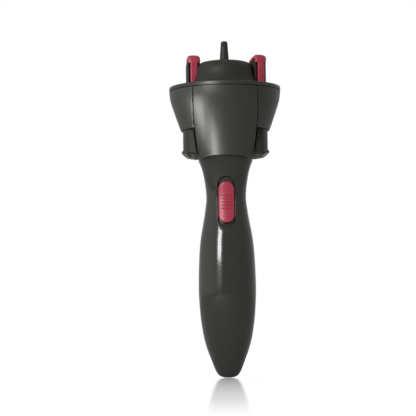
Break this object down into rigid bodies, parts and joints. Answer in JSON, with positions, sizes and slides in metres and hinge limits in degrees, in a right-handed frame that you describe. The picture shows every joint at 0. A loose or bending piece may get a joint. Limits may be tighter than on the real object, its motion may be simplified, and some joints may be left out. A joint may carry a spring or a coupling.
{
  "type": "automatic hair braider",
  "caption": "Cordless hair braiding tool: a tapered grip with a slide switch, and a cone-shaped head with a turning drum, two spinning hooks and side levers that lift the hook clips.",
  "frame": {"origin": "centre of the flat tip of the grip, the object's lowest point", "axes": "+Z along the grip towards the spike, -Y out of the switch, hooks side by side along X"},
  "size_m": [0.0728, 0.0728, 0.22],
  "materials": {
    "grip_black": "polished",
    "head_black": "satin",
    "inner_black": "matt",
    "crimson": "semi-gloss",
    "gear_white": "matt",
    "steel": "bright",
    "motor_can": "plated",
    "brass": "turned",
    "board": "lacquered",
    "cell_jacket": "foil",
    "wire_red": "smooth",
    "wire_black": "smooth"
  },
  "bodies": {
    "housing": {"handle_front": "grip_black", "handle_rear": "grip_black", "battery_tray": "inner_black", "cell_left": "cell_jacket", "cell_right": "cell_jacket", "contact_bottom": "steel", "contact_top_left": "steel", "contact_top_right": "steel", "slide_switch": "inner_black", "switch_board": "board", "wire_battery_left": "wire_red", "wire_battery_right": "wire_black", "wire_motor_left": "wire_red", "wire_motor_right": "wire_black", "motor": "motor_can", "case_screw_1": "steel", "case_screw_2": "steel", "case_screw_3": "steel", "case_screw_4": "steel", "gear_chassis": "inner_black", "gear_plate": "inner_black", "compound_pin": "steel", "rotor_track": "inner_black", "rim_ring": "head_black", "panel_front": "head_black", "panel_rear": "head_black", "side_cover_left": "head_black", "side_cover_right": "head_black"},
    "switch": {"switch_button": "crimson"},
    "door": {"battery_door": "grip_black"},
    "lever_set": {"lever_left": "head_black", "lever_right": "head_black", "lift_ring": "gear_white"},
    "pinion": {"motor_shaft": "steel", "motor_pinion": "brass"},
    "compound": {"compound_gear": "gear_white"},
    "drive": {"drive_gear": "gear_white", "drive_shaft": "steel"},
    "rotor": {"carrier_spider": "inner_black", "carrier_clutch": "steel", "rotor_disc": "head_black", "rotor_drum": "head_black", "drum_spike": "head_black", "spider_screw_1": "steel", "spider_screw_2": "steel"},
    "sun": {"sun_gear": "gear_white", "sun_clutch": "steel"},
    "left_spindle": {"left_post": "head_black", "left_planet": "gear_white", "left_spring": "steel"},
    "right_spindle": {"right_post": "head_black", "right_planet": "gear_white", "right_spring": "steel"},
    "left_hook": {"left_clip": "crimson", "left_rod": "steel"},
    "right_hook": {"right_clip": "crimson", "right_rod": "steel"}
  },
  "joints": [
    {"name": "switch_slide", "type": "slide", "parent": "housing", "child": "switch", "axis": [0, 0, 1], "range_m": [-0.0026, 0.0026]},
    {"name": "door_lift", "type": "slide", "parent": "housing", "child": "door", "axis": [0, 1, 0], "range_m": [0, 0.03]},
    {"name": "lever_lift", "type": "slide", "parent": "housing", "child": "lever_set", "axis": [0, 0, 1], "range_m": [0, 0.005], "stiffness_N_per_m": 150, "springref_m": -0.004},
    {"name": "rotor_spin", "type": "hinge", "parent": "housing", "child": "rotor", "pos_m": [0, 0, 0.187], "axis": [0, 0, 1], "continuous": true},
    {"name": "left_hook_spin", "type": "hinge", "parent": "rotor", "child": "left_spindle", "pos_m": [-0.0208, 0, 0.19], "axis": [0, 0, 1], "continuous": true},
    {"name": "right_hook_spin", "type": "hinge", "parent": "rotor", "child": "right_spindle", "pos_m": [0.0208, 0, 0.19], "axis": [0, 0, 1], "continuous": true},
    {"name": "sun_spin", "type": "hinge", "parent": "rotor", "child": "sun", "pos_m": [0, 0, 0.182], "axis": [0, 0, 1], "continuous": true},
    {"name": "left_clip_lift", "type": "slide", "parent": "left_spindle", "child": "left_hook", "axis": [0, 0, 1], "range_m": [0, 0.005], "deforming": ["left_spring"]},
    {"name": "right_clip_lift", "type": "slide", "parent": "right_spindle", "child": "right_hook", "axis": [0, 0, 1], "range_m": [0, 0.005], "deforming": ["right_spring"]},
    {"name": "drive_spin", "type": "hinge", "parent": "housing", "child": "drive", "pos_m": [0, 0, 0.163], "axis": [0, 0, 1], "continuous": true},
    {"name": "compound_spin", "type": "hinge", "parent": "housing", "child": "compound", "pos_m": [0, 0.0105, 0.161], "axis": [0, 0, 1], "continuous": true},
    {"name": "pinion_spin", "type": "hinge", "parent": "housing", "child": "pinion", "pos_m": [0, 0, 0.16], "axis": [0, 0, 1], "continuous": true}
  ],
  "couplings": [
    {"joint": "right_hook_spin", "follows": "left_hook_spin", "ratio": 1},
    {"joint": "sun_spin", "follows": "left_hook_spin", "ratio": -0.44444},
    {"joint": "left_clip_lift", "follows": "lever_lift", "ratio": 1},
    {"joint": "right_clip_lift", "follows": "lever_lift", "ratio": 1},
    {"joint": "drive_spin", "follows": "rotor_spin", "ratio": 1},
    {"joint": "compound_spin", "follows": "rotor_spin", "ratio": -3.2},
    {"joint": "pinion_spin", "follows": "rotor_spin", "ratio": 10.24}
  ]
}
